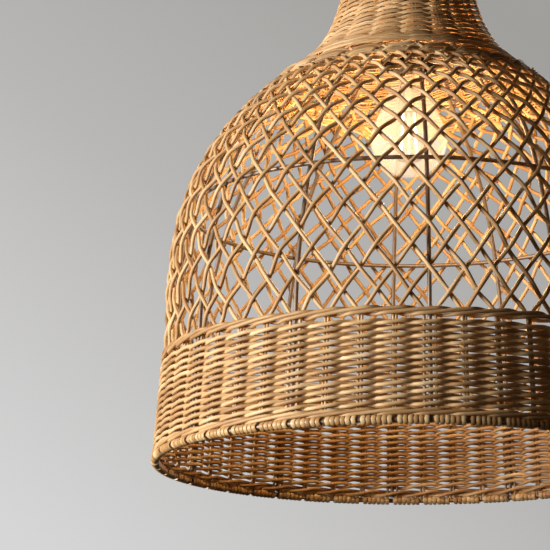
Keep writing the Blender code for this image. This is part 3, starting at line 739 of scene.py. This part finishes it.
# ---------------------------------------------------------------- room, lights and camera

def build_floor():
    """A pale floor far below. It has its own wash of light and throws none of it back up."""
    mesh = bpy.data.meshes.new("studio_floor")
    reach = 30.0
    level = RIM_Z - 3.2
    mesh.from_pydata([(-reach, -reach, level), (reach, -reach, level), (reach, reach, level),
                      (-reach, reach, level)], [], [(0, 1, 2, 3)])
    material = plain_material("pale_plaster", "#B4B1AC", 0.8, 0.0, 0.1 * MM, 4 * MM)
    mesh.materials.append(material)
    floor = bpy.data.objects.new("studio_floor", mesh)
    bpy.context.scene.collection.objects.link(floor)
    floor.visible_diffuse = False
    floor.visible_glossy = False
    wash = bpy.data.lights.new("floor_wash", "SUN")
    wash.energy = 3.6
    wash.angle = math.radians(60)
    lamp = bpy.data.objects.new("floor_wash", wash)
    bpy.context.scene.collection.objects.link(lamp)
    lamp.light_linking.receiver_collection = bpy.data.collections.new("washed")
    lamp.light_linking.receiver_collection.objects.link(floor)


def build_world():
    """A pale grey room, lighter low on the left, that gives back only a dim, warm light."""
    world = bpy.data.worlds.new("studio")
    bpy.context.scene.world = world
    world.use_nodes = True
    tree = world.node_tree
    sky = tree.nodes["Background"]
    way = add(tree, "ShaderNodeTexCoord").outputs["Generated"]
    slope = add(tree, "ShaderNodeVectorMath", {"operation": "DOT_PRODUCT", 1: (-0.7, 0.6, -0.7)},
                {0: way})
    level = add(tree, "ShaderNodeMapRange", {"From Min": -1.0, "From Max": 1.0},
                {"Value": slope.outputs["Value"]})
    near, far = [(0.0, "#2C2824"), (0.45, "#4A4642")], [(0.0, "#A3A29F"), (0.45, "#A3A29F")]
    walls = [(0.662, "#A09F9C"), (0.731, "#B8B7B5"), (0.80, "#D6D6D6"), (1.0, "#E4E4E4")]
    lit = ramp(tree, level.outputs[0], far + walls)
    tree.links.new(lit.outputs["Color"], sky.inputs["Color"])
    # the light it gives falls away behind the viewer and below the horizon
    dim = ramp(tree, level.outputs[0], near + walls)
    height = add(tree, "ShaderNodeSeparateXYZ", links={"Vector": way}).outputs["Z"]
    fall = add(tree, "ShaderNodeMapRange", {"From Min": -0.3, "From Max": 0.0, "To Min": 0.15,
                                            "To Max": 1.0}, {"Value": height})
    room = add(tree, "ShaderNodeMix", {"data_type": "RGBA", "blend_type": "MULTIPLY", 0: 1.0})
    tree.links.new(dim.outputs["Color"], room.inputs[6])
    room.inputs[7].default_value = colour("#B89A80")
    glow = add(tree, "ShaderNodeBackground", links={"Color": room.outputs[2],
                                                    "Strength": fall.outputs[0]})
    seen = add(tree, "ShaderNodeLightPath").outputs["Is Camera Ray"]
    both = add(tree, "ShaderNodeMixShader", links={0: seen, 1: glow.outputs[0], 2: sky.outputs[0]})
    tree.links.new(both.outputs[0], tree.nodes["World Output"].inputs["Surface"])


def area_light(name, place, target, size, watts, code):
    light = bpy.data.lights.new(name, "AREA")
    light.shape = "DISK"
    light.size = size
    light.energy = watts
    light.color = colour(code)[:3]
    lamp = bpy.data.objects.new(name, light)
    bpy.context.scene.collection.objects.link(lamp)
    lamp.location = place
    way = Vector(target) - Vector(place)
    lamp.rotation_mode = "QUATERNION"
    lamp.rotation_quaternion = way.to_track_quat("-Z", "Y")


def build_lights():
    middle = (0, 0, RIM_Z + 0.18)
    area_light("window_left", (-2.2, -1.05, RIM_Z + 0.15), middle, 1.1, 104, "#FFF8EE")
    area_light("fill_right", (2.4, -1.8, RIM_Z + 0.2), middle, 1.6, 3, "#FFDFB8")
    area_light("fill_behind", (1.5, 2.6, RIM_Z + 0.5), middle, 1.8, 42, "#FFF2E0")
    glow = bpy.data.lights.new("bulb_glow", "POINT")
    glow.energy = 1.5
    glow.color = colour("#FFD090")[:3]
    glow.shadow_soft_size = 26 * MM
    lamp = bpy.data.objects.new("bulb_glow", glow)
    bpy.context.scene.collection.objects.link(lamp)
    low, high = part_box("bulb_glass")
    lamp.location = (0, 0, low[2] + 20 * MM)
    lamp.visible_camera = False
    # the bulb's own pieces neither catch nor block the light that stands for its filaments,
    # and its neck keeps that light off the holder's mouth
    bulb = ["bulb_envelope", "bulb_stem", "filament_1", "filament_2", "filament_3", "filament_4",
            "filament_collar", "filament_crown"]
    mouth = ["holder_body", "shade_ring_ribbed", "screw_shell", "bulb_cap", "cap_insulator",
             "contact_tip", "centre_contact", "side_contact", "holder_insert"]
    unlit = bpy.data.collections.new("unlit_by_filaments")
    passed = bpy.data.collections.new("passed_by_filaments")
    for group, names in ((unlit, bulb + mouth), (passed, bulb)):
        for name in names:
            group.objects.link(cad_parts.get(name) or bpy.data.objects[name])
        for item in group.collection_objects:
            item.light_linking.link_state = "EXCLUDE"
    lamp.light_linking.receiver_collection = unlit
    lamp.light_linking.blocker_collection = passed


def build_camera():
    """Level with the space below the shade, looking slightly up and to the left."""
    distance, below = 2.074, 0.3326
    yaw, pitch, roll = -0.0516, 0.2294, 0.0085
    ahead = Vector((math.sin(yaw) * math.cos(pitch), math.cos(yaw) * math.cos(pitch),
                    math.sin(pitch)))
    right = Vector((math.cos(yaw), -math.sin(yaw), 0))
    up = right.cross(ahead)
    rolled = right * math.cos(roll) + up * math.sin(roll)
    upright = up * math.cos(roll) - right * math.sin(roll)
    data = bpy.data.cameras.new("camera")
    data.lens = 174.7
    data.sensor_width = 36
    data.clip_start = 0.05
    camera = bpy.data.objects.new("camera", data)
    bpy.context.scene.collection.objects.link(camera)
    turn = Matrix((rolled, upright, -ahead)).transposed()
    camera.matrix_world = Matrix.Translation((0, -distance, RIM_Z - below)) @ turn.to_4x4()
    bpy.context.scene.camera = camera


bpy.context.scene.view_settings.view_transform = "Standard"
build_floor()
build_world()
build_lights()
build_camera()

bpy.context.view_layer.update()
